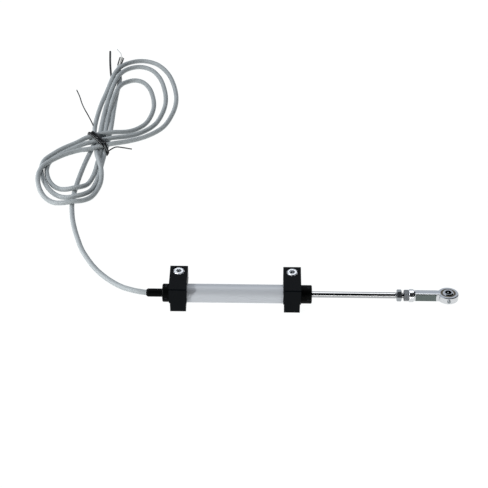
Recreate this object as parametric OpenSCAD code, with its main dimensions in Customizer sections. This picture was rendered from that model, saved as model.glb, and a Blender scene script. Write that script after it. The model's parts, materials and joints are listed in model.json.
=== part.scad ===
// Linear displacement sensor: a potentiometer in a tube, read through a sliding rod.
// X runs along the tube towards the rod end, Y to the back and Z up.
// The origin is on the rear clamp's base, right under the tube's axis.

/* [Housing tube] */
// Length of the aluminium tube
tube_len = 126; // [122:1:260]
// Outer diameter of the tube
tube_d = 18; // [17:0.5:20]
// Wall of the tube
tube_wall = 1.25; // [1:0.05:1.4]

/* [Caps] */
// How much less the rear cap's rim measures across than the tube
rear_rim_step = 0.4; // [0:0.1:1]
// Length of the rear cap's rim, outside the tube
rear_cap_len = 6.6; // [5:0.1:10]
// How much less the front cap's rim measures across than the tube
front_rim_step = 0.2; // [0:0.1:1]
// Length of the front cap's rim, outside the tube
front_cap_len = 10.4; // [9:0.1:14]
// Length of the rear cap's plug, inside the tube
rear_plug_len = 8; // [7:0.5:12]
// Length of the front cap's plug, inside the tube
front_plug_len = 12; // [10:0.5:16]
// Chamfer on the outer edge of both rims
cap_chamfer = 0.7; // [0.3:0.1:1]
// Diameter of the set screws in both rims
set_screw_d = 2; // [1.6:0.1:2.5]
// Length of the set screws, as a share of the tube's diameter
set_screw_share = 0.13; // [0.12:0.005:0.14]

/* [Strain relief] */
// Outer diameter of the strain relief
relief_d = 8; // [7.5:0.1:9]
// Length of the strain relief, outside the rear cap
relief_len = 15.6; // [10:0.2:24]
// Diameter of its stem, inside the rear cap
relief_stem_d = 6.4; // [6:0.1:7]

/* [Clamps] */
// From each end of the tube to the middle of its clamp
clamp_inset = 8.5; // [8:0.5:30]
// Width of a clamp along the tube
clamp_w = 17; // [14:0.5:20]
// Height of the tube's axis above the base
axis_h = 13; // [12:0.5:20]
// From the axis to a clamp's front face
clamp_front = 12; // [11.5:0.5:14]
// From the axis to a clamp's back face
clamp_back = 24.6; // [23:0.2:32]
// From the axis to a clamp's top face
clamp_top = 14.5; // [14:0.5:18]
// Width of a clamp's foot along the tube
foot_w = 15.2; // [13:0.2:17]
// How far under the axis the foot begins
foot_drop = 2.6; // [1:0.2:5]
// Slit that closes on the tube
slit = 1.6; // [1:0.1:2.5]
// Round on the block's front and back edges
clamp_round = 1.6; // [0.5:0.1:3]

/* [Clamp screws] */
// Thread diameter of a clamp screw
screw_d = 6; // [5:0.5:6]
// Diameter of its head
screw_head_d = 10; // [9:0.5:10]
// Height of its head
screw_head_h = 6; // [5:0.5:6]
// Length of its shank
screw_len = 19; // [14:0.5:19.5]
// Hexagon socket across its flats
screw_socket = 5; // [4:0.5:5]
// From the axis back to the screw
screw_back = 16; // [15.5:0.5:17]
// Width of the groove round a screw's head
screw_head_gap = 1; // [0.5:0.1:1.4]

/* [Rod] */
// Diameter of the rod
rod_d = 6; // [5:0.1:6]
// From the front cap to the limit nut, as the rod stands
rod_out = 81.2; // [79:0.2:160]
// Diameter of the rod's neck in the carriage
neck_d = 4; // [3:0.1:4]
// Stroke left from where it stands, outwards
stroke_out = 2; // [1:0.5:4]

/* [Nuts] */
// Across the flats of both nuts
nut_af = 10; // [10:0.5:11]
// Height of a nut
nut_h = 4.6; // [3.2:0.1:5]
// Thread that shows between the nuts
nut_gap = 2.2; // [1:0.1:6]

/* [Rod end] */
// Diameter of the collar
collar_d = 12.7; // [12:0.1:13.5]
// Length of the collar
collar_len = 4.4; // [3:0.1:6]
// Length of the cone behind the collar
cone_len = 1.8; // [1:0.1:3]
// Side of the square shank
shank_w = 8.4; // [8:0.1:9]
// From the collar's face to the middle of the eye
end_h = 37.6; // [35:0.1:45]
// Diameter of the eye
eye_d = 20; // [19:0.2:22]
// Thickness of the eye
eye_t = 6.8; // [6:0.1:7.4]
// Diameter of the ball
ball_d = 12.7; // [12.4:0.1:13]
// Width of the ball across its flats
ball_w = 9; // [8.6:0.1:9.6]
// Bore of the ball
ball_bore = 6; // [5:0.5:6.4]
// Thickness of the bearing liner behind the ball
liner_t = 0.9; // [0.7:0.05:1.1]
// Roll of the rod end about the rod, as it stands
eye_roll = 9; // [0:1:20]

/* [Inside] */
// Length of the wiper carriage
carriage_len = 20; // [14:0.5:22]
// Thickness of the resistance element
board_t = 0.8; // [0.6:0.1:1]
// Width of the resistance element, as a share of the tube's bore
board_share = 0.645; // [0.58:0.005:0.67]
// Thickness of both buffers
buffer_t = 2; // [1.5:0.1:2.5]
// Cord diameter of both O-rings, as a share of the tube's bore
ring_share = 0.097; // [0.08:0.001:0.105]

/* [Cable] */
// Outer diameter of the cable
cable_d = 4.8; // [4.6:0.1:5]
// Height of the hank over its two lobes
hank_h = 10; // [9:0.5:12]
// Height of the hank at its waist
waist_h = 15; // [13:0.5:17]
// Where the hank's lower loop takes over the lead, from the rear clamp
LEAD_END = [-119.6, 147.5]; // [-160:0.1:200]
// Thickness of the wire tie
tie_t = 1.4; // [1:0.1:1.6]

/* [Hidden] */
$fn = 64;

// Named clearances
press_gap = 0.03;
run_gap = 0.05;
slide_gap = 0.15;
seat_gap = 0.1;
loose_gap = 0.3;

// Places along X; the rear clamp's middle is 0
clamp_pitch = tube_len - 2 * clamp_inset;
tube_x0 = -clamp_inset;
tube_x1 = tube_x0 + tube_len;
rear_face = tube_x0 - rear_cap_len;
relief_tip = rear_face - relief_len;
front_face = tube_x1 + front_cap_len;
rear_plug_end = tube_x0 + rear_plug_len;
front_plug_end = tube_x1 - front_plug_len;
nut1_x = front_face + rod_out;
nut2_x = nut1_x + nut_h + nut_gap;
collar_x = nut2_x + nut_h + seat_gap;
eye_x = collar_x + end_h;

// Rims, plugs and the tube's bore
tube_id = tube_d - 2 * tube_wall;
plug_d = tube_id - 2 * press_gap;
pocket_d = 0.74 * plug_d;
rear_cap_d = tube_d - rear_rim_step;
front_cap_d = tube_d - front_rim_step;
set_screw_len = set_screw_share * tube_d;
ring_d = ring_share * tube_id;
set_screw_rear_x = (rear_face + tube_x0) / 2;
set_screw_front_x = front_face - 3.4;
rear_ring_x = tube_x0 + rear_plug_len / 2;
front_ring_x = tube_x1 - front_plug_len / 2;
ring_groove_w = ring_d + 0.5;
ring_groove_d = tube_id - 2 * ring_d;

// Inside the tube, heights from the axis
carrier_d = tube_id - 2 * press_gap;
carrier_top = -0.335 * tube_id;
board_top = carrier_top + board_t;
board_w = board_share * tube_id;
track_margin = 4;
track_t = 0.15;
track_w = 2.4;
track_y = 2.4;
carriage_bottom = -0.194 * tube_id;
carriage_d = tube_id - 2 * slide_gap;
rail_x0 = rear_plug_end + seat_gap;
rail_x1 = front_plug_end - seat_gap;
buffer_bottom = -0.2 * tube_id;
buffer_bore = 0.58 * tube_id;
carriage_x1 = front_plug_end - buffer_t - seat_gap - stroke_out - seat_gap;
carriage_x0 = carriage_x1 - carriage_len;
clip_t = 0.8;
clip_d = neck_d + 0.26 * (tube_id - neck_d);
clip_groove_d = neck_d - 1;
clip_x = carriage_x0 - seat_gap - clip_t;
neck_end = clip_x - 1;

// Guide of the rod in the front cap
bushing_d = rod_d + 0.42 * (tube_id - rod_d);
bushing_len = front_plug_len + front_cap_len - 8;
wiper_d = rod_d + 4.4;
wiper_len = 2.6;
wiper_x = front_face - wiper_len - 0.6;

// Rod and rod end
thread_d = rod_d - 0.1;
rod_hole_len = 15;
rod_x1 = collar_x + rod_hole_len - 1;
collar_bore = thread_d + 2 * run_gap;
liner_d = ball_d + 2 * liner_t;
eye_edge = 0.6;
nipple_d = 3.6;
nipple_h = 1.1;
nipple_stem_d = 0.55 * nipple_d;
shank_edge = 1.5;
limit_nut_turn = 11;
lock_nut_turn = 36;

// Cable: its heights are above the base
cable_in = 6;
lead_sides = 8;
// The lead's run: shares of its way to the hank along X and Y, and of its height
LEAD_RUN = [
    [0, 0, 1], [0.071, 0.009, 0.98], [0.133, 0.024, 0.9], [0.195, 0.047, 0.78],
    [0.256, 0.075, 0.62], [0.33, 0.114, 0.45], [0.408, 0.163, 0.28],
    [0.493, 0.22, 0.13], [0.616, 0.315, 0.03], [0.723, 0.42, 0.01],
    [0.802, 0.515, 0.01], [0.858, 0.61, 0.01], [0.914, 0.719, 0.01],
    [0.96, 0.827, 0.01], [0.982, 0.908, 0.01], [1, 1, 0.01]
];
LEAD = [
    [relief_tip + cable_in, 0, axis_h],
    for (p = LEAD_RUN) [
        relief_tip + p[0] * (LEAD_END[0] - relief_tip),
        p[1] * LEAD_END[1],
        cable_d / 2 + p[2] * (axis_h - cable_d / 2)
    ]
];
UPPER = [-64, 339];
UPPER_R = [46, 82];
LOWER = [-128.5, 194];
LOWER_R = [34.5, 50];
UPPER_HOLE = [-69, 328];
UPPER_HOLE_R = [18, 42];
LOWER_HOLE = [-127, 203];
LOWER_HOLE_R = [19, 27];
WAIST = [-105, 252];
waist_turn = 34;
waist_l = 34;
waist_w = 33;
tie_w = 5;
// The tie's tails: along the waist, beyond the band's end, and a share of its height
LONG_TAIL = [
    [0, -0.7, 0.94], [9, 11.2, 0.91], [14.5, 23.2, 0.8], [19, 43.5, 0.6],
    [23.4, 59.4, 0.47], [28.9, 75.4, 0.33], [33.9, 92.4, 0.17]
];
SHORT_TAIL = [
    [0, -0.7, 0.47], [1.8, 5.8, 0.47], [10.1, 6, 0.4], [18.7, 7.6, 0.3],
    [29.6, 11.3, 0.15]
];
CORES_X = [-95, -90, -85];
cores_end_y = 428;
core_d = 1.6;

// A cylinder along X from x0 to x1, on the sensor's axis
module bar(x0, x1, d) {
    translate([x0, 0, axis_h])
        rotate([0, 90, 0])
            cylinder(d = d, h = x1 - x0);
}

// A solid of revolution about the sensor's axis; the profile's points are [radius, x]
module turned(profile) {
    translate([0, 0, axis_h])
        rotate([0, 90, 0])
            rotate_extrude()
                polygon(profile);
}

// What of its children lies above or below a height from the axis
module keep_above(z, x0, x1) {
    intersection() {
        children();
        translate([x0, -tube_d, axis_h + z])
            cube([x1 - x0, 2 * tube_d, tube_d]);
    }
}

module keep_below(z, x0, x1) {
    intersection() {
        children();
        translate([x0, -tube_d, axis_h + z - tube_d])
            cube([x1 - x0, 2 * tube_d, tube_d]);
    }
}

// Four radial places round a rim, a quarter turn apart
module round_rim(x) {
    for (turn = [0:90:270])
        translate([x, 0, axis_h])
            rotate([turn, 0, 0])
                children();
}

// A tube of even thickness through a list of points
function unit(v) = v / norm(v);
function run_dir(p, i) =
    unit(p[min(i + 1, len(p) - 1)] - p[max(i - 1, 0)]);
function side_dir(t) =
    unit(cross(t, abs(t[2]) > 0.9 ? [1, 0, 0] : [0, 0, 1]));
function ring(c, t, r, n) =
    let (s = side_dir(t), u = cross(s, t))
    [for (k = [0:n - 1]) c + r * (cos(360 * k / n) * s + sin(360 * k / n) * u)];

module swept(path, d, n) {
    count = len(path);
    points = [
        for (i = [0:count - 1])
            each ring(path[i], run_dir(path, i), d / 2, n)
    ];
    walls = [
        for (i = [0:count - 2])
            for (k = [0:n - 1])
                [i * n + k, i * n + (k + 1) % n,
                 (i + 1) * n + (k + 1) % n, (i + 1) * n + k]
    ];
    first_cap = [for (k = [n - 1:-1:0]) k];
    last_cap = [for (k = [0:n - 1]) (count - 1) * n + k];
    polyhedron(points, concat([first_cap], walls, [last_cap]));
}

module housing_tube() {
    color("#b4b8bf")
        difference() {
            bar(tube_x0, tube_x1, tube_d);
            bar(tube_x0 - 1, tube_x1 + 1, tube_id);
        }
}

// A radial hole or screw starts at this radius and ends at the rim's surface
module set_screw_holes(x, rim_d) {
    round_rim(x)
        translate([0, 0, rim_d / 2 - set_screw_len])
            cylinder(d = set_screw_d + 2 * press_gap, h = set_screw_len + 1);
}

module set_screws(x, rim_d) {
    socket = 0.9;
    round_rim(x)
        translate([0, 0, rim_d / 2 - set_screw_len])
            difference() {
                cylinder(d = set_screw_d, h = set_screw_len - 0.25);
                translate([0, 0, set_screw_len - 1.2])
                    cylinder(d = socket / cos(30), h = 2, $fn = 6);
            }
}

module rear_cap() {
    r = rear_cap_d / 2;
    c = cap_chamfer;
    color("#1d1f22")
        difference() {
            turned([
                [0, rear_face], [r - c, rear_face], [r, rear_face + c], [r, tube_x0],
                [plug_d / 2, tube_x0], [plug_d / 2, rear_plug_end], [0, rear_plug_end]
            ]);
            bar(rear_face - 1, rear_plug_end + 1, relief_stem_d + 2 * press_gap);
            bar(tube_x0, rear_plug_end + 1, pocket_d);
            ring_groove(rear_ring_x);
            set_screw_holes(set_screw_rear_x, rear_cap_d);
        }
}

module ring_groove(x) {
    turned([
        [ring_groove_d / 2, x - ring_groove_w / 2], [tube_id, x - ring_groove_w / 2],
        [tube_id, x + ring_groove_w / 2], [ring_groove_d / 2, x + ring_groove_w / 2]
    ]);
}

module o_ring(x) {
    squeeze = 0.04;
    color("#151515")
        translate([x, 0, axis_h])
            rotate([0, 90, 0])
                rotate_extrude()
                    translate([tube_id / 2 - ring_d / 2, 0])
                        circle(d = ring_d - 2 * squeeze, $fn = 24);
}

module strain_relief() {
    r = relief_d / 2;
    stem_end = tube_x0 - 0.4;
    color("#222427")
        difference() {
            turned([
                [0, relief_tip], [r - 1.1, relief_tip], [r, relief_tip + 1.6],
                [r, rear_face], [relief_stem_d / 2, rear_face],
                [relief_stem_d / 2, stem_end], [0, stem_end]
            ]);
            bar(relief_tip - 1, stem_end + 1, cable_d + 2 * run_gap);
        }
}

module front_cap() {
    r = front_cap_d / 2;
    c = cap_chamfer;
    color("#1d1f22")
        difference() {
            turned([
                [0, front_plug_end], [plug_d / 2, front_plug_end],
                [plug_d / 2, tube_x1], [r - c / 2, tube_x1], [r, tube_x1 + c / 2],
                [r, front_face - c], [r - c, front_face], [0, front_face]
            ]);
            bar(front_plug_end - 1, front_face + 1, rod_d + 1);
            bar(front_plug_end - 1, front_plug_end + bushing_len,
                bushing_d + 2 * press_gap);
            bar(wiper_x, front_face + 1, wiper_d + 2 * press_gap);
            ring_groove(front_ring_x);
            set_screw_holes(set_screw_front_x, front_cap_d);
        }
}

module guide_bushing() {
    color("#8a6a3a")
        difference() {
            bar(front_plug_end, front_plug_end + bushing_len, bushing_d);
            bar(front_plug_end - 1, front_plug_end + bushing_len + 1,
                rod_d + 2 * run_gap);
        }
}

module rod_wiper() {
    ro = wiper_d / 2;
    ri = rod_d / 2 + run_gap;
    lip = 0.8;
    color("#151515")
        turned([
            [ri, wiper_x + wiper_len], [ri, wiper_x + wiper_len - lip],
            [ri + lip, wiper_x + lip], [ri + lip, wiper_x], [ro, wiper_x],
            [ro, wiper_x + wiper_len - lip / 2], [ri + lip, wiper_x + wiper_len - lip / 2]
        ]);
}

module element_carrier() {
    color("#2c2f33")
        keep_below(carrier_top, rail_x0, rail_x1)
            bar(rail_x0, rail_x1, carrier_d);
}

module resistance_element() {
    color("#3f6b45")
        translate([rail_x0, -board_w / 2, axis_h + carrier_top])
            cube([rail_x1 - rail_x0, board_w, board_t]);
}

module resistive_tracks() {
    color("#101114")
        for (side = [-1, 1])
            translate([rail_x0 + track_margin, side * track_y - track_w / 2,
                       axis_h + board_top])
                cube([rail_x1 - rail_x0 - 1.5 * track_margin, track_w, track_t]);
}

module inner_leads() {
    wire = 1.1;
    x0 = relief_tip + cable_in + loose_gap;
    x1 = rail_x0 + 2.6;
    drop = board_top + wire / 2 + 0.02;
    for (k = [-1:1])
        color(k < 0 ? "#e8e4da" : k > 0 ? "#7a4a2a" : "#3c7a4a")
            swept([
                [x0, k * 1.25, axis_h], [tube_x0 + 0.5, k * 1.25, axis_h],
                [tube_x0 + 2.5, k * 1.6, axis_h - 0.8],
                [tube_x0 + 4.5, k * 2.2, axis_h - 2.4],
                [rail_x0 - 0.6, k * 2.5, axis_h + drop + 0.2],
                [rail_x0 + 0.6, k * 2.5, axis_h + drop], [x1, k * 2.5, axis_h + drop]
            ], wire, 8);
}

// A ring that stops the carriage, flat below where the element lies
module buffer(x0) {
    color("#b0392f")
        keep_above(buffer_bottom, x0, x0 + buffer_t)
            difference() {
                bar(x0, x0 + buffer_t, tube_id - 2 * press_gap);
                bar(x0 - 1, x0 + buffer_t + 1, buffer_bore);
            }
}

module rear_buffer() {
    buffer(rear_plug_end + seat_gap);
}

module front_buffer() {
    buffer(front_plug_end - buffer_t - seat_gap);
}

module wiper_carriage() {
    waist = 5;
    color("#d8d4c4")
        difference() {
            keep_above(carriage_bottom, carriage_x0, carriage_x1)
                bar(carriage_x0, carriage_x1, carriage_d);
            bar(carriage_x0 - 1, carriage_x1 + 1, neck_d + 2 * run_gap);
            // Relieved middle, so that only the two ends run on the tube
            difference() {
                bar(carriage_x0 + waist, carriage_x1 - waist, tube_d);
                bar(carriage_x0, carriage_x1, carriage_d - 1.6);
            }
        }
}

// Two strips of fingers on the carriage's underside, one over each track
module wiper_contacts() {
    strip = 0.2;
    finger_w = 0.9;
    drop = carriage_bottom - board_top - track_t - run_gap;
    x0 = carriage_x0 + 3;
    reach = 8;
    tip = 0.58 * drop;
    color("#d8b45a")
        for (side = [-1, 1]) {
            translate([x0, side * track_y - track_w / 2, axis_h + carriage_bottom - strip])
                cube([3, track_w, strip]);
            for (f = [-1, 1])
                translate([x0, side * track_y + f * 0.65 + finger_w / 2,
                           axis_h + carriage_bottom])
                    rotate([90, 0, 0])
                        linear_extrude(finger_w)
                            polygon([
                                [2.5, -strip], [2.5, 0], [3, 0],
                                [reach - 1, -drop + strip], [reach, -drop + tip],
                                [reach + strip, -drop + tip - strip / 2],
                                [reach - 0.7, -drop], [reach - 1.4, -drop]
                            ]);
        }
}

module rod() {
    r = rod_d / 2;
    n = neck_d / 2;
    g = clip_groove_d / 2;
    t = thread_d / 2;
    thread_x = nut1_x - 1.5;
    color("#c9ccd0")
        turned([
            [0, neck_end], [n - 0.3, neck_end], [n, neck_end + 0.3],
            [n, clip_x - 0.05], [g, clip_x - 0.05], [g, carriage_x0 - seat_gap + 0.05],
            [n, carriage_x0 - seat_gap + 0.05], [n, carriage_x1 + seat_gap],
            [r, carriage_x1 + seat_gap], [r, thread_x], [t, thread_x + 0.3],
            [t, rod_x1 - 0.8], [t - 0.8, rod_x1], [0, rod_x1]
        ]);
}

module rod_clip() {
    color("#8d9196")
        difference() {
            bar(clip_x, clip_x + clip_t, clip_d);
            bar(clip_x - 1, clip_x + 2, clip_groove_d + 2 * run_gap);
            translate([clip_x - 1, -clip_groove_d / 2, axis_h])
                cube([3, clip_groove_d, clip_d]);
        }
}

// A hexagon nut whose corners are turned off on both faces
module hex_nut(x, turn) {
    corner = nut_af / cos(30);
    bevel = 0.5;
    color("#a9adb2")
        difference() {
            intersection() {
                translate([x, 0, axis_h])
                    rotate([turn, 0, 0])
                        rotate([0, 90, 0])
                            cylinder(d = corner, h = nut_h, $fn = 6);
                turned([
                    [0, x], [nut_af / 2 - 0.1, x], [corner / 2 + 0.05, x + bevel],
                    [corner / 2 + 0.05, x + nut_h - bevel], [nut_af / 2 - 0.1, x + nut_h],
                    [0, x + nut_h]
                ]);
            }
            bar(x - 1, x + nut_h + 1, thread_d + 2 * run_gap);
        }
}

module limit_nut() {
    hex_nut(nut1_x, limit_nut_turn);
}

module lock_nut() {
    hex_nut(nut2_x, lock_nut_turn);
}

// Places its children at the eye, with Z along the ball's bore
module at_eye() {
    translate([eye_x, 0, axis_h])
        rotate([-eye_roll, 0, 0])
            children();
}

module rod_end_housing() {
    cone_d = shank_w * 1.16;
    shank_x = collar_x + collar_len;
    edge = 0.5;
    color("#9da2a6")
        difference() {
            union() {
                turned([
                    [0, collar_x], [collar_d / 2 - edge, collar_x],
                    [collar_d / 2, collar_x + edge],
                    [collar_d / 2, shank_x - edge / 2],
                    [collar_d / 2 - edge / 2, shank_x],
                    [cone_d / 2, shank_x + cone_len], [0, shank_x + cone_len]
                ]);
                // Square shank with rounded edges, run into the eye
                translate([shank_x - 1, 0, axis_h])
                    rotate([-eye_roll, 0, 0])
                        rotate([90, 0, 90])
                            linear_extrude(eye_x - shank_x - ball_d / 2 - 0.5)
                                rounded_square(shank_w, shank_edge);
                at_eye()
                    eye_blank();
            }
            bar(collar_x - 1, collar_x + rod_hole_len, collar_bore);
            at_eye()
                cylinder(d = liner_d + 2 * press_gap, h = 2 * eye_t, center = true);
            at_eye()
                rotate([90, 0, 0])
                    cylinder(d = nipple_stem_d + 2 * press_gap, h = eye_d);
        }
}

module rounded_square(w, r) {
    square([w - 2 * r, w], center = true);
    square([w, w - 2 * r], center = true);
    for (x = [-1, 1])
        for (y = [-1, 1])
            translate([x * (w / 2 - r), y * (w / 2 - r)])
                circle(r, $fn = 32);
}

module eye_blank() {
    r = eye_d / 2;
    h = eye_t / 2;
    rotate_extrude()
        polygon([
            [0, -h], [r - eye_edge, -h], [r, -h + eye_edge], [r, h - eye_edge],
            [r - eye_edge, h], [0, h]
        ]);
}

module rod_end_liner() {
    color("#c2a24e")
        at_eye()
            difference() {
                cylinder(d = liner_d, h = eye_t, center = true);
                sphere(d = ball_d + 2 * run_gap, $fn = 64);
            }
}

module rod_end_ball() {
    color("#d2d5d8")
        at_eye()
            difference() {
                intersection() {
                    sphere(d = ball_d, $fn = 64);
                    cube([2 * ball_d, 2 * ball_d, ball_w], center = true);
                }
                cylinder(d = ball_bore, h = 2 * ball_w, center = true);
            }
}

// The lubrication fitting in the eye's rim, on the side that faces the front
module grease_nipple() {
    flange = 0.6;
    stem_len = eye_d / 2 - liner_d / 2 - press_gap - 0.2;
    color("#b9bcc0")
        at_eye()
            rotate([90, 0, 0])
                translate([0, 0, eye_d / 2 - stem_len])
                    difference() {
                        union() {
                            cylinder(d = nipple_stem_d, h = stem_len + nipple_h);
                            translate([0, 0, stem_len + 0.15])
                                cylinder(d = nipple_d, h = flange);
                            translate([0, 0, stem_len + flange])
                                cylinder(d1 = nipple_d * 0.7, d2 = nipple_d * 0.5,
                                         h = nipple_h);
                        }
                        translate([0, 0, stem_len + 0.4])
                            cylinder(d = 0.7, h = 3);
                    }
}

// The block's outline seen along the tube, with the axis at 0, 0
module clamp_outline() {
    top_bevel = 0.9;
    difference() {
        polygon([
            [-clamp_front, -axis_h], [clamp_back, -axis_h],
            [clamp_back, clamp_top - clamp_round], [clamp_back - clamp_round, clamp_top],
            [-clamp_front + top_bevel, clamp_top], [-clamp_front, clamp_top - top_bevel]
        ]);
        circle(d = tube_d + 2 * press_gap);
        translate([0, -slit / 2])
            square([clamp_back + 1, slit]);
    }
}

module clamp(x) {
    step = (clamp_w - foot_w) / 2;
    color("#26282b")
        difference() {
            translate([x - clamp_w / 2, 0, axis_h])
                rotate([90, 0, 90])
                    linear_extrude(clamp_w)
                        clamp_outline();
            // The foot is a little narrower than the block
            for (side = [-1, 1])
                translate([x + side * clamp_w / 2 - step, -2 * clamp_back, -1])
                    cube([2 * step, 4 * clamp_back, axis_h - foot_drop + 1]);
            // Hole and counterbore of the clamp screw
            translate([x, screw_back, -1])
                cylinder(d = screw_d + 2 * run_gap, h = axis_h + clamp_top + 2);
            translate([x, screw_back, axis_h + clamp_top - screw_head_h - 0.2])
                cylinder(d = screw_head_d + 2 * screw_head_gap, h = screw_head_h + 1);
        }
}

module rear_clamp() {
    clamp(0);
}

module front_clamp() {
    clamp(clamp_pitch);
}

module clamp_screw(x) {
    top = axis_h + clamp_top - 0.2;
    seat = top - screw_head_h;
    r = screw_head_d / 2;
    edge = 0.6;
    color("#8f9398")
        translate([x, screw_back, 0])
            difference() {
                rotate_extrude()
                    polygon([
                        [0, seat - screw_len], [screw_d / 2 - 0.7, seat - screw_len],
                        [screw_d / 2, seat - screw_len + 0.7], [screw_d / 2, seat],
                        [r, seat], [r, top - edge], [r - edge, top], [0, top]
                    ]);
                translate([0, 0, top - screw_head_h / 2])
                    cylinder(d = screw_socket / cos(30), h = screw_head_h, $fn = 6);
            }
}

module rear_clamp_screw() {
    clamp_screw(0);
}

module front_clamp_screw() {
    clamp_screw(clamp_pitch);
}

module cable_lead() {
    color("#c9cbc8")
        swept(LEAD, cable_d, lead_sides);
}

// One lobe of the hank, with its stretch to the waist
module lobe(place, radii) {
    hull() {
        translate(place)
            scale([radii[0] / radii[1], 1])
                circle(radii[1], $fn = 48);
        translate(WAIST)
            circle(cable_d * 3, $fn = 24);
    }
}

// The open middle of a lobe, where no turn of the cable runs
module opening(place, radii) {
    translate(place)
        scale([radii[0] / radii[1], 1])
            circle(radii[1], $fn = 36);
}

module at_waist() {
    translate([WAIST[0], WAIST[1], 0])
        rotate([0, 0, waist_turn])
            children();
}

module waist_block() {
    at_waist()
        translate([-waist_l / 2, -waist_w / 2, 0])
            cube([waist_l, waist_w, waist_h]);
}

module cable_hank() {
    color("#c9cbc8")
        difference() {
            union() {
                linear_extrude(hank_h)
                    difference() {
                        lobe(UPPER, UPPER_R);
                        opening(UPPER_HOLE, UPPER_HOLE_R);
                    }
                linear_extrude(hank_h)
                    difference() {
                        lobe(LOWER, LOWER_R);
                        opening(LOWER_HOLE, LOWER_HOLE_R);
                    }
                waist_block();
            }
            at_waist()
                translate([-tie_w / 2, -2 * waist_w, -1])
                    cube([tie_w, 4 * waist_w, tie_t + 1]);
            at_waist()
                translate([-tie_w / 2, -2 * waist_w, waist_h - tie_t])
                    cube([tie_w, 4 * waist_w, tie_t + 1]);
            for (side = [-1, 1])
                at_waist()
                    translate([-tie_w / 2, side * waist_w - waist_w / 2 - side * tie_t, -1])
                        cube([tie_w, waist_w, waist_h + 2]);
        }
}

// A wire tail from one end of the band, with side 1 for the back and -1 for the front
module tie_tail(points, side) {
    swept([for (p = points) [p[0], side * (waist_w / 2 + p[1]), p[2] * waist_h]],
          tie_t, 8);
}

module cable_tie() {
    color("#151515")
        at_waist() {
            difference() {
                translate([-tie_w / 2, -waist_w / 2, 0])
                    cube([tie_w, waist_w, waist_h]);
                translate([-tie_w, -waist_w / 2 + tie_t, tie_t])
                    cube([2 * tie_w, waist_w - 2 * tie_t, waist_h - 2 * tie_t]);
            }
            tie_tail(LONG_TAIL, 1);
            tie_tail(SHORT_TAIL, -1);
        }
}

// How far back the upper lobe reaches at a place along X
function upper_edge(x) =
    UPPER[1] + UPPER_R[1] * sqrt(1 - pow((x - UPPER[0]) / UPPER_R[0], 2));

module cable_cores() {
    color("#e9e7e0")
        for (x = CORES_X)
            swept([[x, upper_edge(x) - 2, hank_h / 2], [x, cores_end_y, hank_h / 2]],
                  core_d, 8);
}

housing_tube();
rear_cap();
o_ring(rear_ring_x);  // rear_cap_seal
set_screws(set_screw_rear_x, rear_cap_d);  // rear_cap_screws
strain_relief();
front_cap();
o_ring(front_ring_x);  // front_cap_seal
set_screws(set_screw_front_x, front_cap_d);  // front_cap_screws
guide_bushing();
rod_wiper();
element_carrier();
resistance_element();
resistive_tracks();
inner_leads();
rear_buffer();
front_buffer();
wiper_carriage();
wiper_contacts();
rod();
rod_clip();
limit_nut();
lock_nut();
rod_end_housing();
rod_end_liner();
rod_end_ball();
grease_nipple();
rear_clamp();
front_clamp();
rear_clamp_screw();
front_clamp_screw();
cable_lead();
cable_hank();
cable_tie();
cable_cores();
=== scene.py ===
# %% [markdown]
# A linear displacement sensor: a rod slides in an aluminium tube and moves a wiper over a
# resistance element. Two split blocks clamp the tube, the rod ends in a ball joint, and the cable
# is tied up in a hank. The solids come from the CAD frame, and this file gives them their looks.

# %% Load the frame
import json
import math

import bmesh
import bpy
import numpy as np
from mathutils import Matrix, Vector


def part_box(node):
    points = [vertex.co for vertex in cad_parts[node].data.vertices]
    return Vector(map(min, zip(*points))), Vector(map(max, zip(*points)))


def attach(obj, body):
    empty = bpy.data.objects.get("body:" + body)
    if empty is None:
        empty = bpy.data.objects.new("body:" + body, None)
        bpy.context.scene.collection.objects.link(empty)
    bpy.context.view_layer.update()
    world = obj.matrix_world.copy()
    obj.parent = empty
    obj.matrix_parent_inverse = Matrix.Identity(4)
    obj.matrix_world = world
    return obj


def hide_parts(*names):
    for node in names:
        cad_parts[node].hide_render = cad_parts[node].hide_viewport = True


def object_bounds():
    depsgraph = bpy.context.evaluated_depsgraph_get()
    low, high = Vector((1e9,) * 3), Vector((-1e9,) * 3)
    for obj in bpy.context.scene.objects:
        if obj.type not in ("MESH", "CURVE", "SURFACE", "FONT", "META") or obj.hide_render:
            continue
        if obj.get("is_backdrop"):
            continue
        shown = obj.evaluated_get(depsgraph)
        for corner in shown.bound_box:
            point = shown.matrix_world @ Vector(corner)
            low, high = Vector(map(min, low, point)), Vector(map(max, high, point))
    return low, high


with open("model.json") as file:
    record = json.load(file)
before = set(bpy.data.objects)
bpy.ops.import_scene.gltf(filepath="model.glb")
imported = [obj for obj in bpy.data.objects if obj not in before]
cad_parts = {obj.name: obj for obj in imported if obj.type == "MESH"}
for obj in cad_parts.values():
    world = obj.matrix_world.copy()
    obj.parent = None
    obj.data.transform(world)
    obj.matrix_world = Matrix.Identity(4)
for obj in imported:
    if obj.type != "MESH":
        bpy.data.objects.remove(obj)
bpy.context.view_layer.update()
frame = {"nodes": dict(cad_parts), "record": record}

MM = 0.001


def plain_box():
    """The whole object's box as plain lists."""
    return [[float(v) for v in corner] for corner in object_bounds()]


# %% [markdown]
# The camera stands as in a product photograph: a long lens, 40 degrees above the table and almost
# square to the tube. It is fixed first.

# %% Camera
LOOK_AT = Vector((61.7, 74.0, 13.0)) * MM
ELEVATION = math.radians(40)
AZIMUTH = math.radians(1.0)
DISTANCE = 1.4
VIEW_WIDTH = 0.4878
SENSOR = 36.0

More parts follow.
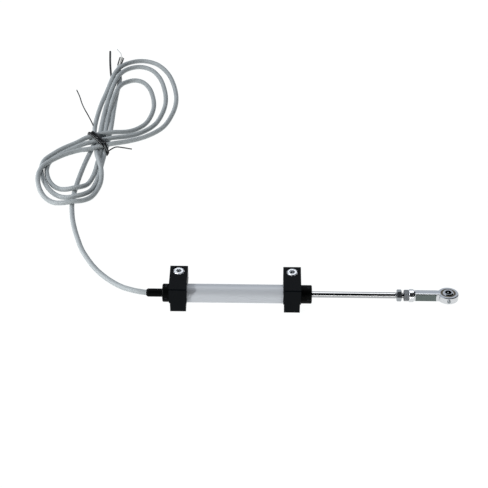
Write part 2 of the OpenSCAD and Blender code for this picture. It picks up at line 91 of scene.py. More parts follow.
toward = Vector((
    math.sin(AZIMUTH) * math.cos(ELEVATION),
    -math.cos(AZIMUTH) * math.cos(ELEVATION),
    math.sin(ELEVATION),
))
camera_data = bpy.data.cameras.new("camera")
camera_data.sensor_width = SENSOR
camera_data.lens = SENSOR * DISTANCE / VIEW_WIDTH
camera = bpy.data.objects.new("camera", camera_data)
camera.location = LOOK_AT + toward * DISTANCE
camera.rotation_euler = toward.to_track_quat("Z", "Y").to_euler()
bpy.context.collection.objects.link(camera)
bpy.context.scene.camera = camera
print("lens", round(camera_data.lens, 1), "mm")

# %% [markdown]
# Materials are built from nodes. Colours are written as sRGB hex values, as a colour picker shows
# them, and one function turns them into the linear values that the renderer wants. One helper adds
# any node with its settings and links.


# %% Material helpers
def linear(hex_colour):
    """An sRGB hex colour as linear red, green, blue and alpha."""
    parts = [int(hex_colour[i:i + 2], 16) / 255 for i in (1, 3, 5)]
    return (*[p / 12.92 if p <= 0.04045 else ((p + 0.055) / 1.055) ** 2.4 for p in parts], 1.0)


def add(tree, kind, links=(), values=(), **settings):
    """Adds a node: settings are attributes, values are for sockets, links come from other nodes."""
    node = tree.nodes.new(kind)
    for name, value in settings.items():
        setattr(node, name, value)
    for socket, value in dict(values).items():
        node.inputs[socket].default_value = value
    for socket, source in dict(links).items():
        tree.links.new(source, node.inputs[socket])
    return node


def new_material(name, colour, **values):
    """A material with a Principled shader, and its tree, shader and object coordinates."""
    material = bpy.data.materials.new(name)
    material.use_nodes = True
    tree = material.node_tree
    shader = tree.nodes["Principled BSDF"]
    shader.inputs["Base Color"].default_value = linear(colour)
    for socket, value in values.items():
        shader.inputs[socket.replace("_", " ")].default_value = value
    place = add(tree, "ShaderNodeTexCoord").outputs["Object"]
    return material, tree, shader, place


def scaled(tree, place, scale):
    """Coordinates multiplied by a scale for each axis, in patterns per metre."""
    return add(tree, "ShaderNodeMapping", {"Vector": place}, {"Scale": scale}).outputs["Vector"]


def mottled(tree, shader, place, size, low, high, detail=3.0):
    """Lets the base colour wander softly between two colours, over spots of a size in metres."""
    noise = add(tree, "ShaderNodeTexNoise",
                {"Vector": place}, {"Scale": 1 / size, "Detail": detail})
    mix = add(tree, "ShaderNodeMix", {"Factor": noise.outputs["Fac"]}, data_type="RGBA")
    mix.inputs["A"].default_value = linear(low)
    mix.inputs["B"].default_value = linear(high)
    tree.links.new(mix.outputs["Result"], shader.inputs["Base Color"])
    return noise


def rough_between(tree, shader, factor, low, high):
    """Maps a pattern from 0..1 onto a range of roughness."""
    spread = add(tree, "ShaderNodeMapRange", {"Value": factor}, {"To Min": low, "To Max": high})
    tree.links.new(spread.outputs["Result"], shader.inputs["Roughness"])


def bumped(tree, shader, height, depth):
    """Turns a pattern into relief of a depth in metres."""
    bump = add(tree, "ShaderNodeBump", {"Height": height}, {"Distance": depth, "Strength": 1.0})
    tree.links.new(bump.outputs["Normal"], shader.inputs["Normal"])


# %% [markdown]
# The tube is drawn aluminium with a clear anodised skin. The oxide scatters the light, so it looks
# satin and only a little metallic, with fine lines along the tube. Real drawing lines are finer:
# they are drawn 0.25 mm apart so that they show.


# %% Anodised aluminium
def anodised_aluminium():
    material, tree, shader, place = new_material(
        "satin anodised aluminium", "#b5b9be", Metallic=0.2, Roughness=0.5)
    lines = add(tree, "ShaderNodeTexNoise",
                {"Vector": scaled(tree, place, (60, 4000, 4000))}, {"Scale": 1.0, "Detail": 2.0})
    rough_between(tree, shader, lines.outputs["Fac"], 0.45, 0.6)
    bumped(tree, shader, lines.outputs["Fac"], 0.000004)
    return material


# %% [markdown]
# The caps and the strain relief are black moulded nylon: nearly black, with the faint grain of a
# spark-eroded mould, about 0.3 mm between its pits.


# %% Moulded black nylon
def black_nylon():
    material, tree, shader, place = new_material(
        "moulded black nylon", "#040505", Roughness=0.45, IOR=1.53, Specular_IOR_Level=0.03)
    grain = add(tree, "ShaderNodeTexNoise",
                {"Vector": place}, {"Scale": 1 / 0.0003, "Detail": 3.0})
    rough_between(tree, shader, grain.outputs["Fac"], 0.36, 0.55)
    bumped(tree, shader, grain.outputs["Fac"], 0.00001)
    return material


# %% [markdown]
# The clamp blocks are milled aluminium, anodised black. The dye drinks nearly all light and leaves
# a cool, slightly blue tone on the upper faces. The cutter's lines are 0.7 mm long and 0.2 mm
# apart.


# %% Black anodised aluminium
def black_anodised():
    material, tree, shader, place = new_material(
        "black anodised aluminium", "#04070a", Roughness=0.4, IOR=1.6, Specular_IOR_Level=0.04)
    grain = add(tree, "ShaderNodeTexNoise",
                {"Vector": scaled(tree, place, (1500, 6000, 6000))}, {"Scale": 1.0, "Detail": 2.0})
    rough_between(tree, shader, grain.outputs["Fac"], 0.33, 0.48)
    bumped(tree, shader, grain.outputs["Fac"], 0.000005)
    return material


# %% [markdown]
# Steel comes in two finishes here. The rod and the ball are ground and polished, so they mirror the
# room in bands, with grinding rings 0.2 mm apart. The nuts and screws have a thin zinc coat that is
# duller and a little uneven, in spots of about 3 mm.


# %% Steels
def polished_steel():
    material, tree, shader, place = new_material(
        "ground and polished steel", "#a8a9aa", Metallic=1.0, Roughness=0.12)
    rings = add(tree, "ShaderNodeTexNoise",
                {"Vector": scaled(tree, place, (5000, 200, 200))}, {"Scale": 1.0, "Detail": 2.0})
    rough_between(tree, shader, rings.outputs["Fac"], 0.10, 0.14)
    return material


def zinc_plated(name="zinc plated steel", colour="#a9adb0", dark="#8e9396"):
    material, tree, shader, place = new_material(name, colour, Metallic=1.0, Roughness=0.32)
    spots = mottled(tree, shader, place, 0.003, dark, colour)
    rough_between(tree, shader, spots.outputs["Fac"], 0.24, 0.42)
    return material


# %% [markdown]
# Some places of the steel get painted shade. On the shank of the rod end, past its cone and away
# from the ground eye, the faces turned to the front and the back are coloured darker as painted
# shade, and the hole through the ball is coloured near-black as painted shade.


# %% Steel with painted shade
def paint_shade(tree, shader, shade_mask, light, dark):
    """Paints shade: mixes a dark colour into the base colour where a mask is 1."""
    mix = add(tree, "ShaderNodeMix", {"Factor": shade_mask}, data_type="RGBA")
    mix.inputs["A"].default_value = linear(light)
    mix.inputs["B"].default_value = linear(dark)
    tree.links.new(mix.outputs["Result"], shader.inputs["Base Color"])


def calc(tree, operation, first, second):
    """A math node on a socket or number and another; returns its result."""
    links = {k: v for k, v in enumerate((first, second)) if not isinstance(v, (int, float))}
    values = {k: v for k, v in enumerate((first, second)) if isinstance(v, (int, float))}
    return add(tree, "ShaderNodeMath", links, values, operation=operation).outputs["Value"]


def from_point(tree, place, point):
    """Coordinates measured from a point in metres."""
    away = add(tree, "ShaderNodeVectorMath", {0: place}, {1: point}, operation="SUBTRACT")
    return away.outputs["Vector"]


low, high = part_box("rod_end_ball")
EYE = tuple((a + b) / 2 for a, b in zip(low, high))
COLLAR_AND_CONE = 6.4 * MM
SHANK_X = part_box("rod_end_housing")[0][0] + COLLAR_AND_CONE
GROUND_REACH = 12.4 * MM  # the eye is ground this far from its middle
PAINTED_SHADE_SIDE = 0.35  # a normal with more than this along Y is on a front or back flat
BORE_REACH = 3.2 * MM
BORE_TILT = math.radians(9)


def forged_steel():
    material, tree, shader, place = new_material(
        "forged and ground steel", "#d0d2d4", Metallic=1.0, Roughness=0.3)
    away = add(tree, "ShaderNodeVectorMath", {0: from_point(tree, place, EYE)}, operation="LENGTH")
    on_shank = calc(tree, "GREATER_THAN", away.outputs["Value"], GROUND_REACH)
    along = add(tree, "ShaderNodeSeparateXYZ", {"Vector": place}).outputs["X"]
    past_cone = calc(tree, "GREATER_THAN", along, SHANK_X)
    # Painted shade: faces turned to the front or the back, on the shank past the cone and away from
    # the ground eye, are coloured darker and rougher.
    normal = add(tree, "ShaderNodeSeparateXYZ",
                 {"Vector": add(tree, "ShaderNodeTexCoord").outputs["Normal"]}).outputs["Y"]
    flat = calc(tree, "GREATER_THAN", calc(tree, "ABSOLUTE", normal, 0.0), PAINTED_SHADE_SIDE)
    shade_mask = calc(tree, "MULTIPLY", calc(tree, "MULTIPLY", on_shank, past_cone), flat)
    paint_shade(tree, shader, shade_mask, "#d0d2d4", "#636b69")
    rough_between(tree, shader, shade_mask, 0.24, 0.5)
    return material


def ball_steel():
    material, tree, shader, place = new_material(
        "ball bearing steel", "#cfd2d5", Metallic=1.0, Roughness=0.12)
    flat = add(tree, "ShaderNodeMapping", {"Vector": from_point(tree, place, EYE)},
               {"Rotation": (-BORE_TILT, 0, 0), "Scale": (1, 1, 0)})
    out = add(tree, "ShaderNodeVectorMath", {0: flat.outputs["Vector"]}, operation="LENGTH")
    # Painted shade: inside the hole through the ball the colour is near-black and rougher.
    bore_shade = calc(tree, "LESS_THAN", out.outputs["Value"], BORE_REACH)
    paint_shade(tree, shader, bore_shade, "#cfd2d5", "#0c0c0e")
    rough_between(tree, shader, bore_shade, 0.12, 0.55)
    return material


# %% [markdown]
# The small pieces need one plain finish each, such as sintered bronze, rubber, acetal or glass
# epoxy. A soft mottle, a few tenths of a millimetre to a few millimetres wide, keeps them from
# looking painted.


# %% Small inner materials
def simple(name, colour, size, low, high, **values):
    """A plain moulded or rolled material with a soft mottle of a size in metres."""
    material, tree, shader, place = new_material(name, colour, **values)
    mottled(tree, shader, place, size, low, high)
    return material


# %% [markdown]
# The cable's jacket is soft light grey PVC. It is matt, with a faint waxy sheen, and its colour
# wanders a little where fingers have touched it.


# %% Cable PVC
def grey_pvc():
    material, tree, shader, place = new_material(
        "light grey PVC", "#9ea4a6", Roughness=0.45, IOR=1.52, Specular_IOR_Level=0.2)
    mottled(tree, shader, place, 0.012, "#959b9d", "#a6acae")
    grain = add(tree, "ShaderNodeTexNoise", {"Vector": place}, {"Scale": 1 / 0.0006})
    bumped(tree, shader, grain.outputs["Fac"], 0.000015)
    return material


# %% [markdown]
# Every solid of the frame gets the material that its record names. A few steel pieces have their
# own finish: the rod end is forged and then ground, the lock nut and the caps' set screws are
# blackened, and the clamp screws have bright new zinc.

# %% Materials on the nodes
SLOTS = {
    "anodised_aluminium": anodised_aluminium(),
    "black_cap": black_nylon(),
    "black_clamp": black_anodised(),
    "polished_steel": polished_steel(),
    "plated_steel": zinc_plated(),
    "bearing_bronze": simple("oiled sintered bronze", "#5d564a", 0.0006, "#4c463b", "#6c6455",
                             Metallic=0.9, Roughness=0.4),
    "seal_rubber": simple("nitrile rubber", "#101010", 0.0008, "#0c0c0c", "#181818",
                          Roughness=0.6, IOR=1.52),
    "inner_plastic": simple("acetal", "#d8d4c6", 0.004, "#cfcabb", "#dedacd",
                            Roughness=0.4, IOR=1.48),
    "element_board": simple("glass epoxy board", "#2f5a3a", 0.002, "#29502f", "#366844",
                            Roughness=0.35, IOR=1.55),
    "element_track": simple("conductive plastic", "#0d0e10", 0.001, "#0a0a0c", "#16171a",
                            Roughness=0.3, IOR=1.55),
    "contact_metal": simple("palladium alloy", "#c9ad72", 0.002, "#bd9f62", "#d4bb84",
                            Metallic=1.0, Roughness=0.25),
    "cable_jacket": grey_pvc(),
    "core_jacket": simple("white core PVC", "#dad9d4", 0.002, "#d0cfc9", "#e4e3df",
                          Roughness=0.4, IOR=1.52),
    "tie_plastic": simple("black tie wire", "#050506", 0.001, "#030304", "#08080a",
                          Roughness=0.3, IOR=1.5, Specular_IOR_Level=0.3),
}


def dress(obj, slot):
    """Gives an object the material of a slot."""
    obj.data.materials.clear()
    obj.data.materials.append(SLOTS[slot])


for entry in frame["record"]["subparts"]:
    node = frame["nodes"][entry["node"]]
    node.data.materials.clear()
    node.data.materials.append(SLOTS[entry["material_slot"]])
SPECIAL = {
    "rod_end_housing": forged_steel(),
    "rod_end_ball": ball_steel(),
    "lock_nut": zinc_plated("blackened steel", "#606366", "#3f4144"),
    "front_cap_screws": zinc_plated("blackened set screws", "#33353a", "#202226"),
}
SPECIAL["rear_cap_screws"] = SPECIAL["front_cap_screws"]
BRIGHT_ZINC = zinc_plated("bright zinc", "#e6e8ea", "#d2d5d7")
SPECIAL["rear_clamp_screw"] = SPECIAL["front_clamp_screw"] = BRIGHT_ZINC
for name, material in SPECIAL.items():
    frame["nodes"][name].data.materials.clear()
    frame["nodes"][name].data.materials.append(material)
print(len(SLOTS), "materials on", len(frame["nodes"]), "nodes")

# %% [markdown]
# The cable is one line, about two metres long: a lead from the strain relief, then three turns of a
# figure of eight that cross at the tie, and the end. A lobe is always the same outline, so it is
# written once, in shares of its width and its reach, and each turn stretches it over its own box.
# The cable is stiff, so its height changes slowly. It lies on the floor, at half its diameter, or
# one layer up where it crosses another strand.

# %% The cable's plan
CABLE_D = 5.2
LEAD = [
    (-24.7, 0, 13), (-30.7, 0, 13), (-37, 1.4, 12.8), (-42.5, 3.6, 12), (-48, 7, 10.7),
    (-53.5, 11, 9), (-60, 16.8, 7.2), (-67, 24, 5.4), (-74.5, 32.5, 3.8), (-85.5, 46.5, 2.7),
    (-95, 62, 2.5), (-102, 76, 2.5), (-107, 90, 2.5), (-112, 106, 2.5), (-116, 122, 2.5),
    (-118, 134, 2.5), (-119.6, 147.5, 2.5), (-119.5, 165, 2.5), (-117.5, 190, 2.5),
    (-113.5, 220, 2.5), (-109.5, 242, 2.5),
]

# A lobe in shares of its box: across from the strands going up, along from the waist to the tip
UPPER_LOBE = [
    (0.00, 0.20), (0.02, 0.40), (0.08, 0.62), (0.18, 0.84), (0.33, 0.965), (0.50, 1.0),
    (0.68, 0.965), (0.84, 0.86), (0.95, 0.70), (1.0, 0.52), (0.965, 0.36), (0.86, 0.21),
    (0.68, 0.115), (0.48, 0.048),
]
LOWER_LOBE = [
    (0.42, 0.08), (0.64, 0.16), (0.80, 0.25), (0.93, 0.35), (0.99, 0.47), (0.99, 0.61),
    (0.94, 0.75), (0.84, 0.87), (0.70, 0.95), (0.54, 0.995), (0.38, 0.99), (0.24, 0.945),
    (0.12, 0.85), (0.045, 0.72),
]
# Each turn passes the waist going up, runs round the upper box, comes back over the waist, runs
# round the lower box and joins the next turn. A box is low and high along X, then waist and tip
# along Y. The lifts say at which places of a lobe (counted from 0) the cable lies how high.
TURNS = [
    {
        "up": [(-107.3, 257, 2.5)],
        "upper": (-109.5, -21, 252, 425),
        "upper_lift": [(0, 2.5), (2, 2.7), (3, 7.4), (4, 4), (5, 2.5), (12, 2.5), (13, 4)],
        "back": [(-87.6, 249.5, 7.3), (-96, 246, 7.4), (-111, 239.2, 7.4)],
        "lower": (-92.5, -160.5, 245, 146), "skew": 0.0,
        "lower_lift": [(0, 7.3), (5, 7.3), (7, 3), (8, 2.6), (9, 5.5), (10, 7.3), (11, 5),
                       (12, 2.6), (13, 2.5)],
        "join": [(-93.2, 188, 3), (-93.8, 202, 5.6), (-97.5, 217, 7.3), (-101.3, 231, 6),
                 (-103.1, 244, 3)],
    },
    {
        "up": [(-102.5, 257, 2.5)],
        "upper": (-102, -33, 262, 412),
        "upper_lift": [(0, 2.5), (1, 3.4), (2, 6.9), (3, 7.4), (4, 3.8), (5, 2.5), (12, 2.5),
                       (13, 4)],
        "back": [(-88.3, 260.4, 7.3), (-100, 256, 7.4), (-117.4, 249.2, 7)],
        "lower": (-101, -154, 253, 169), "skew": 0.12,
        "lower_lift": [(0, 5.6), (1, 3.4), (2, 2.5), (7, 2.5), (8, 3.2), (9, 5.6), (10, 7.3),
                       (11, 6), (12, 3), (13, 2.5)],
        "join": [(-101, 206, 2.5), (-99.8, 224, 2.5), (-98.2, 243, 2.5)],
    },
    {
        "up": [(-97.6, 258, 2.5)],
        "upper": (-96.5, -46, 272, 383),
        "upper_lift": [(0, 2.5), (1, 3.8), (2, 7.4), (3, 6.6), (4, 3.2), (5, 2.5), (12, 2.5),
                       (13, 4)],
        "back": [(-89.3, 271.2, 7.3), (-101.1, 267.6, 7.4), (-116.3, 260.5, 7)],
        "lower": (-95.5, -160, 262, 155), "skew": 0.3,
        "lower_lift": [(0, 5.6), (1, 3.4), (2, 2.5), (7, 2.5), (8, 3.2), (9, 5.6), (10, 7.3),
                       (11, 6), (12, 3), (13, 2.5)],
        "join": [(-96, 206, 2.5), (-94.8, 224, 2.5), (-93.4, 243, 2.5)],
    },
]
TAIL = [(-92.4, 258, 2.5), (-91.2, 285, 2.5), (-91.2, 325, 2.5), (-90.6, 356, 2.5),
        (-89.6, 383, 2.5), (-91.6, 398, 2.5), (-93, 412, 2.9)]


def smooth(points, step=2.0):
    """Points about a step apart on a smooth centripetal curve through the given ones."""
    p = np.array(points, float)
    p = p[np.append(True, np.linalg.norm(np.diff(p, axis=0), axis=1) > 0.2)]
    p = np.vstack([2 * p[0] - p[1], p, 2 * p[-1] - p[-2]])
    knots = np.concatenate([[0], np.cumsum(np.sqrt(np.linalg.norm(np.diff(p, axis=0), axis=1)))])
    out = []
    for i in range(1, len(p) - 2):
        t0, t1, t2, t3 = knots[i - 1:i + 3]
        count = max(2, round(float(np.linalg.norm(p[i + 1] - p[i])) / step))
        for t in np.linspace(t1, t2, count, endpoint=False):
            a1 = ((t1 - t) * p[i - 1] + (t - t0) * p[i]) / (t1 - t0)
            a2 = ((t2 - t) * p[i] + (t - t1) * p[i + 1]) / (t2 - t1)
            a3 = ((t3 - t) * p[i + 1] + (t - t2) * p[i + 2]) / (t3 - t2)
            b1 = ((t2 - t) * a1 + (t - t0) * a2) / (t2 - t0)
            b2 = ((t3 - t) * a2 + (t - t1) * a3) / (t3 - t1)
            out.append(((t2 - t) * b1 + (t - t1) * b2) / (t2 - t1))
    return np.array([*out, p[-2]])


def lobe(outline, box, lifts, skew=0.0):
    """An outline of shares laid into a box, with its heights taken from the lifts."""
    x0, x1, y0, y1 = box
    return [(x0 + (x1 - x0) * across * (1 + skew * (0.5 - along)), y0 + (y1 - y0) * along,
             float(np.interp(k, *zip(*lifts))))
            for k, (across, along) in enumerate(outline)]


def cable_plan():
    """The cable's whole line through the lead, its three turns and the end."""
    points = [*LEAD]
    for turn in TURNS:
        points += turn["up"]
        points += lobe(UPPER_LOBE, turn["upper"], turn["upper_lift"])
        points += turn["back"]
        points += lobe(LOWER_LOBE, turn["lower"], turn["lower_lift"], turn["skew"])
        points += turn["join"]
    return smooth(points + TAIL)


def worst_overlap(one, other, reach, skip=0):
    """How deep two lines cut into each other, and where, leaving out near places of one line."""
    gap = np.linalg.norm(one[:, None] - other[None, :], axis=2)
    if skip:
        near = np.abs(np.arange(len(one))[:, None] - np.arange(len(other))[None, :]) < skip
        gap = np.where(near, 1e3, gap)
    i, j = np.unravel_index(gap.argmin(), gap.shape)
    return round(float(reach - gap[i, j]), 1), [round(float(v)) for v in one[i]]


cable_line = cable_plan()
NEAR_POINTS = 20
print("deepest overlap of the cable with itself, mm:",
      worst_overlap(cable_line, cable_line, CABLE_D, NEAR_POINTS))

# %% [markdown]
# A thin black lead is tucked into the hank beside the cable's end. It lies on the floor, and the
# cable passes over it.

# %% The black lead
BLACK_D = 2.5
BLACK_LEAD = [
    (-99, 322, 1.2), (-98.5, 336, 1.2), (-98, 348, 1.2), (-97.6, 361, 1.2), (-98.2, 380, 1.2),
    (-101.5, 398.5, 1.2), (-104.6, 423, 1.2), (-106.8, 447.5, 1.2),
]
black_line = smooth(BLACK_LEAD)


def tube_curve(name, line, diameter, slot, every=3, sides=5, thin=None):
    """A round tube on a smooth open spline through every third point of a line in millimetres."""
    data = bpy.data.curves.new(name, "CURVE")
    data.dimensions = "3D"
    data.bevel_depth = diameter / 2 * MM
    data.bevel_resolution = sides
    data.resolution_u = 5
    data.use_fill_caps = True
    points = [*line[:-1:every], line[-1]]
    spline = data.splines.new("BEZIER")
    spline.bezier_points.add(len(points) - 1)
    for spot, p in zip(spline.bezier_points, points):
        spot.co = Vector(p) * MM
        spot.handle_left_type = spot.handle_right_type = "AUTO"
        spot.radius = thin(p) if thin else 1.0
    obj = bpy.data.objects.new(name, data)
    bpy.context.collection.objects.link(obj)
    dress(obj, slot)
    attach(obj, "housing")
    return obj


def line_length(line):
    """The length in metres of a line in millimetres."""
    return float(np.linalg.norm(np.diff(line, axis=0), axis=1).sum()) * MM


cable = tube_curve("cable", cable_line, CABLE_D, "cable_jacket")
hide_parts("cable_lead", "cable_hank")
black_lead = tube_curve("black_lead", black_line, BLACK_D, "tie_plastic")
print("cable", round(line_length(cable_line), 3), "m long, highest",
      round(float(cable_line[:, 2].max()), 1), "mm")

# %% [markdown]
# The cable's end is stripped. A white core and two dark ones stick out of the jacket for a few
# millimetres, and one thin bare strand curls away.

# %% Stripped end
CORES = {
    "core_white": ([(0, -4, 0), (0.4, 4, 0.6), (1.2, 12, 1.2), (1.9, 18, 1.4)],
                   2.6, "core_jacket"),
    "core_black": ([(1.2, -4, 0), (2.3, 4, 0.4), (3.3, 11, 0.6), (4.0, 17, 0.6)],
                   1.7, "tie_plastic"),
    "core_dark": ([(-1.2, -4, 0), (-1.6, 4, 0.2), (-1.0, 12, 0.4), (-0.3, 19, 0.6)],
                  1.7, "tie_plastic"),
    "bare_strand": ([(0, -4, 0.9), (0.3, 6, 1.6), (1.0, 16, 2.0), (0.4, 25, 1.8), (-5.2, 35, 2.1)],
                    0.6, "plated_steel"),
}
end = cable_line[-1]
for name, (points, size, slot) in CORES.items():
    line = end + np.array(points)
    line[:, 2] = np.maximum(line[:, 2], size / 2 + 0.05)
    tube_curve(name, smooth(line, 1.0), size, slot, every=2, sides=3)
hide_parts("cable_cores")

# %% [markdown]
# The tie is a plastic coated wire, twice round the waist. Its path is the tightest loop round the
# strands: the outline of all the circles where they cross the tie's plane.

# %% Wire tie
TIE_AT = np.array([-106.4, 259.6])
TIE_TURN = math.radians(37)
TIE_D = 2.8
TIE_SPACING = 3.6
SLICE = 1.6  # how far from the tie's plane a strand still counts as in it
BUNDLE_REACH = 24  # how far from the middle a strand still belongs to the bundle
TAIL_START = 17
RING_SPOTS = 28
FIRST_SPOT = 20  # each turn starts low on the right, where the tails leave
along_dir = np.array([math.cos(TIE_TURN), math.sin(TIE_TURN)])
across_dir = np.array([-math.sin(TIE_TURN), math.cos(TIE_TURN)])


def outline_of(points):
    """The convex outline of points in a plane, counter-clockwise."""
    points = sorted(map(tuple, points))
    chains = []
    for run in (points, points[::-1]):
        chain = []
        for p in run:
            while len(chain) > 1:
                (x0, y0), (x1, y1) = chain[-2:]
                if (x1 - x0) * (p[1] - y0) - (y1 - y0) * (p[0] - x0) > 0:
                    break
                chain.pop()
            chain.append(p)
        chains.append(chain[:-1])
    return np.array(chains[0] + chains[1])


def tie_turn(offset):
    """One closed turn of the tie, at a distance along the bundle from its middle."""
    middle = TIE_AT + along_dir * offset
    circles = []
    for line, size in ((cable_line, CABLE_D), (black_line, BLACK_D)):
        place = (line[:, :2] - middle) @ along_dir
        beside = (line[:, :2] - middle) @ across_dir
        for i in np.flatnonzero((np.abs(place) < SLICE) & (np.abs(beside) < BUNDLE_REACH)):
            for a in np.linspace(0, 2 * math.pi, 24, endpoint=False):
                r = (size + TIE_D) / 2
                z = max(line[i, 2] + r * math.sin(a), TIE_D / 2)
                circles.append((beside[i] + r * math.cos(a), z))
    ring = outline_of(circles)
    spots = []
    for a in np.linspace(0, 2 * math.pi, RING_SPOTS, endpoint=False):
        heading = np.array([math.cos(a), math.sin(a)])
        spots.append(ring[(ring @ heading).argmax()])
    flat = np.array(spots)
    return [(*(middle + across_dir * b), z) for b, z in flat]


turns = []
for k in range(2):
    ring = tie_turn((k - 0.5) * TIE_SPACING)
    ring = ring[FIRST_SPOT:] + ring[:FIRST_SPOT]
    turns += ring
first_tail = [(-108.6, 270, 3), (-108.8, 281, 2.6), (-112.5, 291, 5), (-118, 302, 8.2),
              (-122.8, 312.4, 9), (-128, 328, 7), (-132.4, 344.4, 5), (-137.8, 361.3, 2.6)]
last_tail = [(-92.5, 240, 1.5), (-88, 247, 1.4), (-82.8, 251.6, 1.5), (-73.9, 250.5, 1.4),
             (-64.9, 248, 1.6)]


def tail_share(p):
    """The tie's wire is thin in its tails and doubled round the waist."""
    away = max(0.0, math.hypot(p[0] - TIE_AT[0], p[1] - TIE_AT[1]) - TAIL_START)
    return max(0.5, 1.0 - away * 0.12)


tie_line = smooth(first_tail[::-1] + turns + last_tail, 1.5)
tie_line[:, 2] = np.maximum(tie_line[:, 2], TIE_D / 2 + 0.05)
tie = tube_curve("wire_tie", tie_line, TIE_D, "tie_plastic", every=2, sides=3, thin=tail_share)
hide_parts("cable_tie")

# %% [markdown]
# The heads of the two clamp screws are knurled, so that they can be run in by hand: straight ribs
# pressed all round the rim. A node group sets one rib round a circle and that ring on each head.
# The ribs stand 0.25 mm proud, inside the counterbore's clearance.


# %% Knurled screw heads
def knurl_group():
    """A node group: ribs round a circle, and a copy of the ring at each of two heads."""
    group = bpy.data.node_groups.new("knurl", "GeometryNodeTree")
    for name, kind in (("Ribs", "Int"), ("Radius", "Float"), ("Rib Size", "Vector"),
                       ("First Head", "Vector"), ("To Next Head", "Vector"),
                       ("Finish", "Material")):
        group.interface.new_socket(name, in_out="INPUT", socket_type="NodeSocket" + kind)
    group.interface.new_socket("Geometry", in_out="OUTPUT", socket_type="NodeSocketGeometry")
    given = add(group, "NodeGroupInput").outputs
    circle = add(group, "GeometryNodeMeshCircle",
                 {"Vertices": given["Ribs"], "Radius": given["Radius"]})
    rib = add(group, "GeometryNodeMeshCube", {"Size": given["Rib Size"]})
    place = add(group, "GeometryNodeInputPosition")
    outward = add(group, "FunctionNodeAlignRotationToVector",
                  {"Vector": place.outputs["Position"]}, axis="X", pivot_axis="Z")
    ring = add(group, "GeometryNodeInstanceOnPoints", {
        "Points": circle.outputs["Mesh"], "Instance": rib.outputs["Mesh"],
        "Rotation": outward.outputs["Rotation"]})
    heads = add(group, "GeometryNodeMeshLine",
                {"Start Location": given["First Head"], "Offset": given["To Next Head"]},
                {"Count": 2})
    pair = add(group, "GeometryNodeInstanceOnPoints",
               {"Points": heads.outputs["Mesh"], "Instance": ring.outputs["Instances"]})
    real = add(group, "GeometryNodeRealizeInstances", {"Geometry": pair.outputs["Instances"]})
    dressed = add(group, "GeometryNodeSetMaterial",
                  {"Geometry": real.outputs["Geometry"], "Material": given["Finish"]})
    add(group, "NodeGroupOutput", {"Geometry": dressed.outputs["Geometry"]})
    return group


def grown(name, group, inputs):
    """Runs a node group with its named inputs and returns the result as a plain mesh object."""
    obj = bpy.data.objects.new(name, bpy.data.meshes.new(name))
    bpy.context.collection.objects.link(obj)
    modifier = obj.modifiers.new("nodes", "NODES")
    modifier.node_group = group
    for item in group.interface.items_tree:
        if item.in_out == "INPUT":
            modifier[item.identifier] = inputs[item.name]
    shape = obj.evaluated_get(bpy.context.evaluated_depsgraph_get())
    obj.data = bpy.data.meshes.new_from_object(shape)
    obj.modifiers.clear()
    return obj


RIBS = 40
RIB_SIZE = (0.5 * MM, 0.42 * MM, 4.6 * MM)
BELOW_RIM = 0.6 * MM
low, high = (Vector(v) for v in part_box("rear_clamp_screw"))
head_radius = (high.x - low.x) / 2
first_head = (low + high) / 2
first_head.z = high.z - BELOW_RIM - RIB_SIZE[2] / 2
to_next = Vector((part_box("front_clamp_screw")[0][0] - low.x, 0, 0))
knurl = grown("screw_knurl", knurl_group(), {
    "Ribs": RIBS, "Radius": head_radius, "Rib Size": RIB_SIZE, "First Head": first_head,
    "To Next Head": to_next, "Finish": BRIGHT_ZINC})
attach(knurl, "housing")
FACES_OF_A_RIB = 6
print("knurl:", len(knurl.data.polygons) // FACES_OF_A_RIB, "ribs on heads of radius",
      round(head_radius / MM, 2), "mm")

# %% [markdown]
# The rod is turned from one bar: a neck that the carriage clips on, the ground length that runs in
# the guide, and an M6 thread for the nuts and the rod end. Where the thread runs, the radius
# follows a 1 mm pitch round the bar, so the ridge is real geometry and winds as a screw does.


# %% Rod with its thread
def turned(name, rings, sides, radius_of, axis_z):
    """A round mesh along X, from places on its axis and a radius for each place and angle."""
    mesh = bmesh.new()
    angles = [2 * math.pi * k / sides for k in range(sides)]
    loops = []
    for x in rings:
        spots = [(radius_of(x, a), a) for a in angles]
        loops.append([mesh.verts.new((x, r * math.cos(a), axis_z + r * math.sin(a)))
                      for r, a in spots])
    for one, two in zip(loops, loops[1:]):
        for k in range(sides):
            n = (k + 1) % sides
            mesh.faces.new((one[k], one[n], two[n], two[k]))
    mesh.faces.new(loops[0][::-1])
    mesh.faces.new(loops[-1])
    bmesh.ops.recalc_face_normals(mesh, faces=mesh.faces)
    data = bpy.data.meshes.new(name)
    mesh.to_mesh(data)
    mesh.free()
    data.set_sharp_from_angle(angle=math.radians(35))
    obj = bpy.data.objects.new(name, data)
    bpy.context.collection.objects.link(obj)
    return obj


PITCH = 1.0 * MM
THREAD_DEPTH = 0.55 * MM
FLANK = 0.3125  # a flank's width in pitches
CREST = 0.25 * FLANK  # half the width of the crest's flat, in pitches
RINGS_A_PITCH = 10
EDGE = 0.01 * MM  # the width of a square step
low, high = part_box("rod")
ROD_START, ROD_END, ROD_AXIS = low[0], high[0], (low[2] + high[2]) / 2
GROOVE = (80.35 * MM, 81.25 * MM)
SHAFT_START = 101.4 * MM
THREAD_START = 207.7 * MM
ROD_STEPS = [
    (ROD_START, 1.7), (ROD_START + 0.3 * MM, 2.0), (GROOVE[0], 2.0), (GROOVE[0] + EDGE, 1.5),
    (GROOVE[1], 1.5), (GROOVE[1] + EDGE, 2.0), (SHAFT_START, 2.0), (SHAFT_START + EDGE, 3.0),
    (SHAFT_START + 0.3 * MM, 3.0), (THREAD_START - 0.4 * MM, 3.0),
    (THREAD_START - 0.1 * MM, 3.0), (THREAD_START + 0.2 * MM, 2.95),
    (ROD_END - 0.8 * MM, 2.95), (ROD_END, 2.15),
]
print("rod from", round(ROD_START / MM, 2), "to", round(ROD_END / MM, 2), "mm")


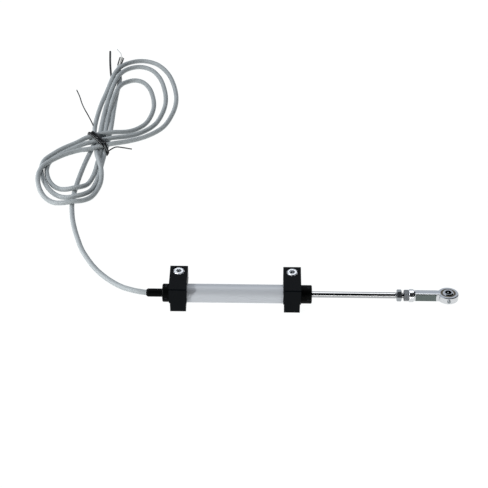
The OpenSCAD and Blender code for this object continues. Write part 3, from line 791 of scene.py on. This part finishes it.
def rod_radius(x, a):
    """The turned profile, less the thread's valley: one turn for each pitch along X."""
    plain = float(np.interp(x, *zip(*ROD_STEPS))) * MM
    phase = (x / PITCH - a / (2 * math.pi)) % 1.0
    ridge = min(1.0, max(0.0, 1 - (abs(phase - 0.5) - CREST) / FLANK))
    fade = min(1.0, max(0.0, (x - THREAD_START) / PITCH), max(0.0, (ROD_END - x) / PITCH))
    return plain - THREAD_DEPTH * (1 - ridge) * fade


thread_rings = np.arange(THREAD_START, ROD_END, PITCH / RINGS_A_PITCH)
rod_rings = sorted({*(x for x, r in ROD_STEPS), *thread_rings})
rod_look = turned("rod_look", rod_rings, 64, rod_radius, ROD_AXIS)
dress(rod_look, "polished_steel")
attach(rod_look, "rod")
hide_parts("rod")

# %% [markdown]
# The studio is a light table. Its top glows, so the object throws hardly any shadow, as in a
# cut-out catalogue picture. Behind the table and to its left stands a bright wall, and in front
# and to the right the room is dark: a polished rod mirrors both and gets its dark line, round
# strands get a light and a dark side, and matt black parts stay black.

# %% Studio
bpy.ops.mesh.primitive_plane_add(size=12, location=(0, 0, -0.0002))
floor = bpy.context.object
floor.name = "light_table"
floor.data.materials.append(new_material(
    "glowing acrylic", "#3c3e40", Roughness=0.9, Specular_IOR_Level=0.1,
    Emission_Color=linear("#fdfefe"), Emission_Strength=1.0)[0])
floor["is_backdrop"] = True

world = bpy.data.worlds.new("studio")
world.use_nodes = True
tree = world.node_tree
heading = add(tree, "ShaderNodeTexCoord").outputs["Generated"]
to_wall = add(tree, "ShaderNodeVectorMath",
              {0: heading}, {1: (-0.6, 0.8, 0)}, operation="DOT_PRODUCT")
share = add(tree, "ShaderNodeMapRange", {"Value": to_wall.outputs["Value"]}, {"From Min": -1.0})
room = add(tree, "ShaderNodeValToRGB", {"Fac": share.outputs["Result"]})
room.color_ramp.elements[0].color = linear("#15171a")
room.color_ramp.elements[0].position = 0.49
room.color_ramp.elements[1].color = linear("#c6ccd6")
room.color_ramp.elements[1].position = 0.62
background = tree.nodes["Background"]
background.inputs["Strength"].default_value = 1.0
tree.links.new(room.outputs["Color"], background.inputs["Color"])
bpy.context.scene.world = world


def area_light(name, place, aim, size, power):
    """A rectangular soft light of a width and height at a place, turned to a point."""
    data = bpy.data.lights.new(name, "AREA")
    data.shape = "RECTANGLE"
    data.size, data.size_y = size
    data.energy = power
    obj = bpy.data.objects.new(name, data)
    obj.location = place
    obj.rotation_euler = (Vector(place) - Vector(aim)).to_track_quat("Z", "Y").to_euler()
    bpy.context.collection.objects.link(obj)


area_light("key", (-1.1, -0.85, 0.85), (0, 0.05, 0), (0.14, 0.14), 16)
area_light("overhead", (0.1, 0.7, 1.5), (0, 0.15, 0), (1.0, 1.0), 8)
area_light("side", (-1.9, 0.3, 0.16), (0, 0.2, 0.01), (0.5, 0.2), 15)
area_light("front strip", (0.05, -1.3, 0.16), (0.05, 0, 0.01), (2.2, 0.14), 6)
bpy.context.scene.view_settings.view_transform = "Standard"
print("studio with", len(bpy.data.lights), "lights")

# %% Sizes
print("visual box", plain_box())
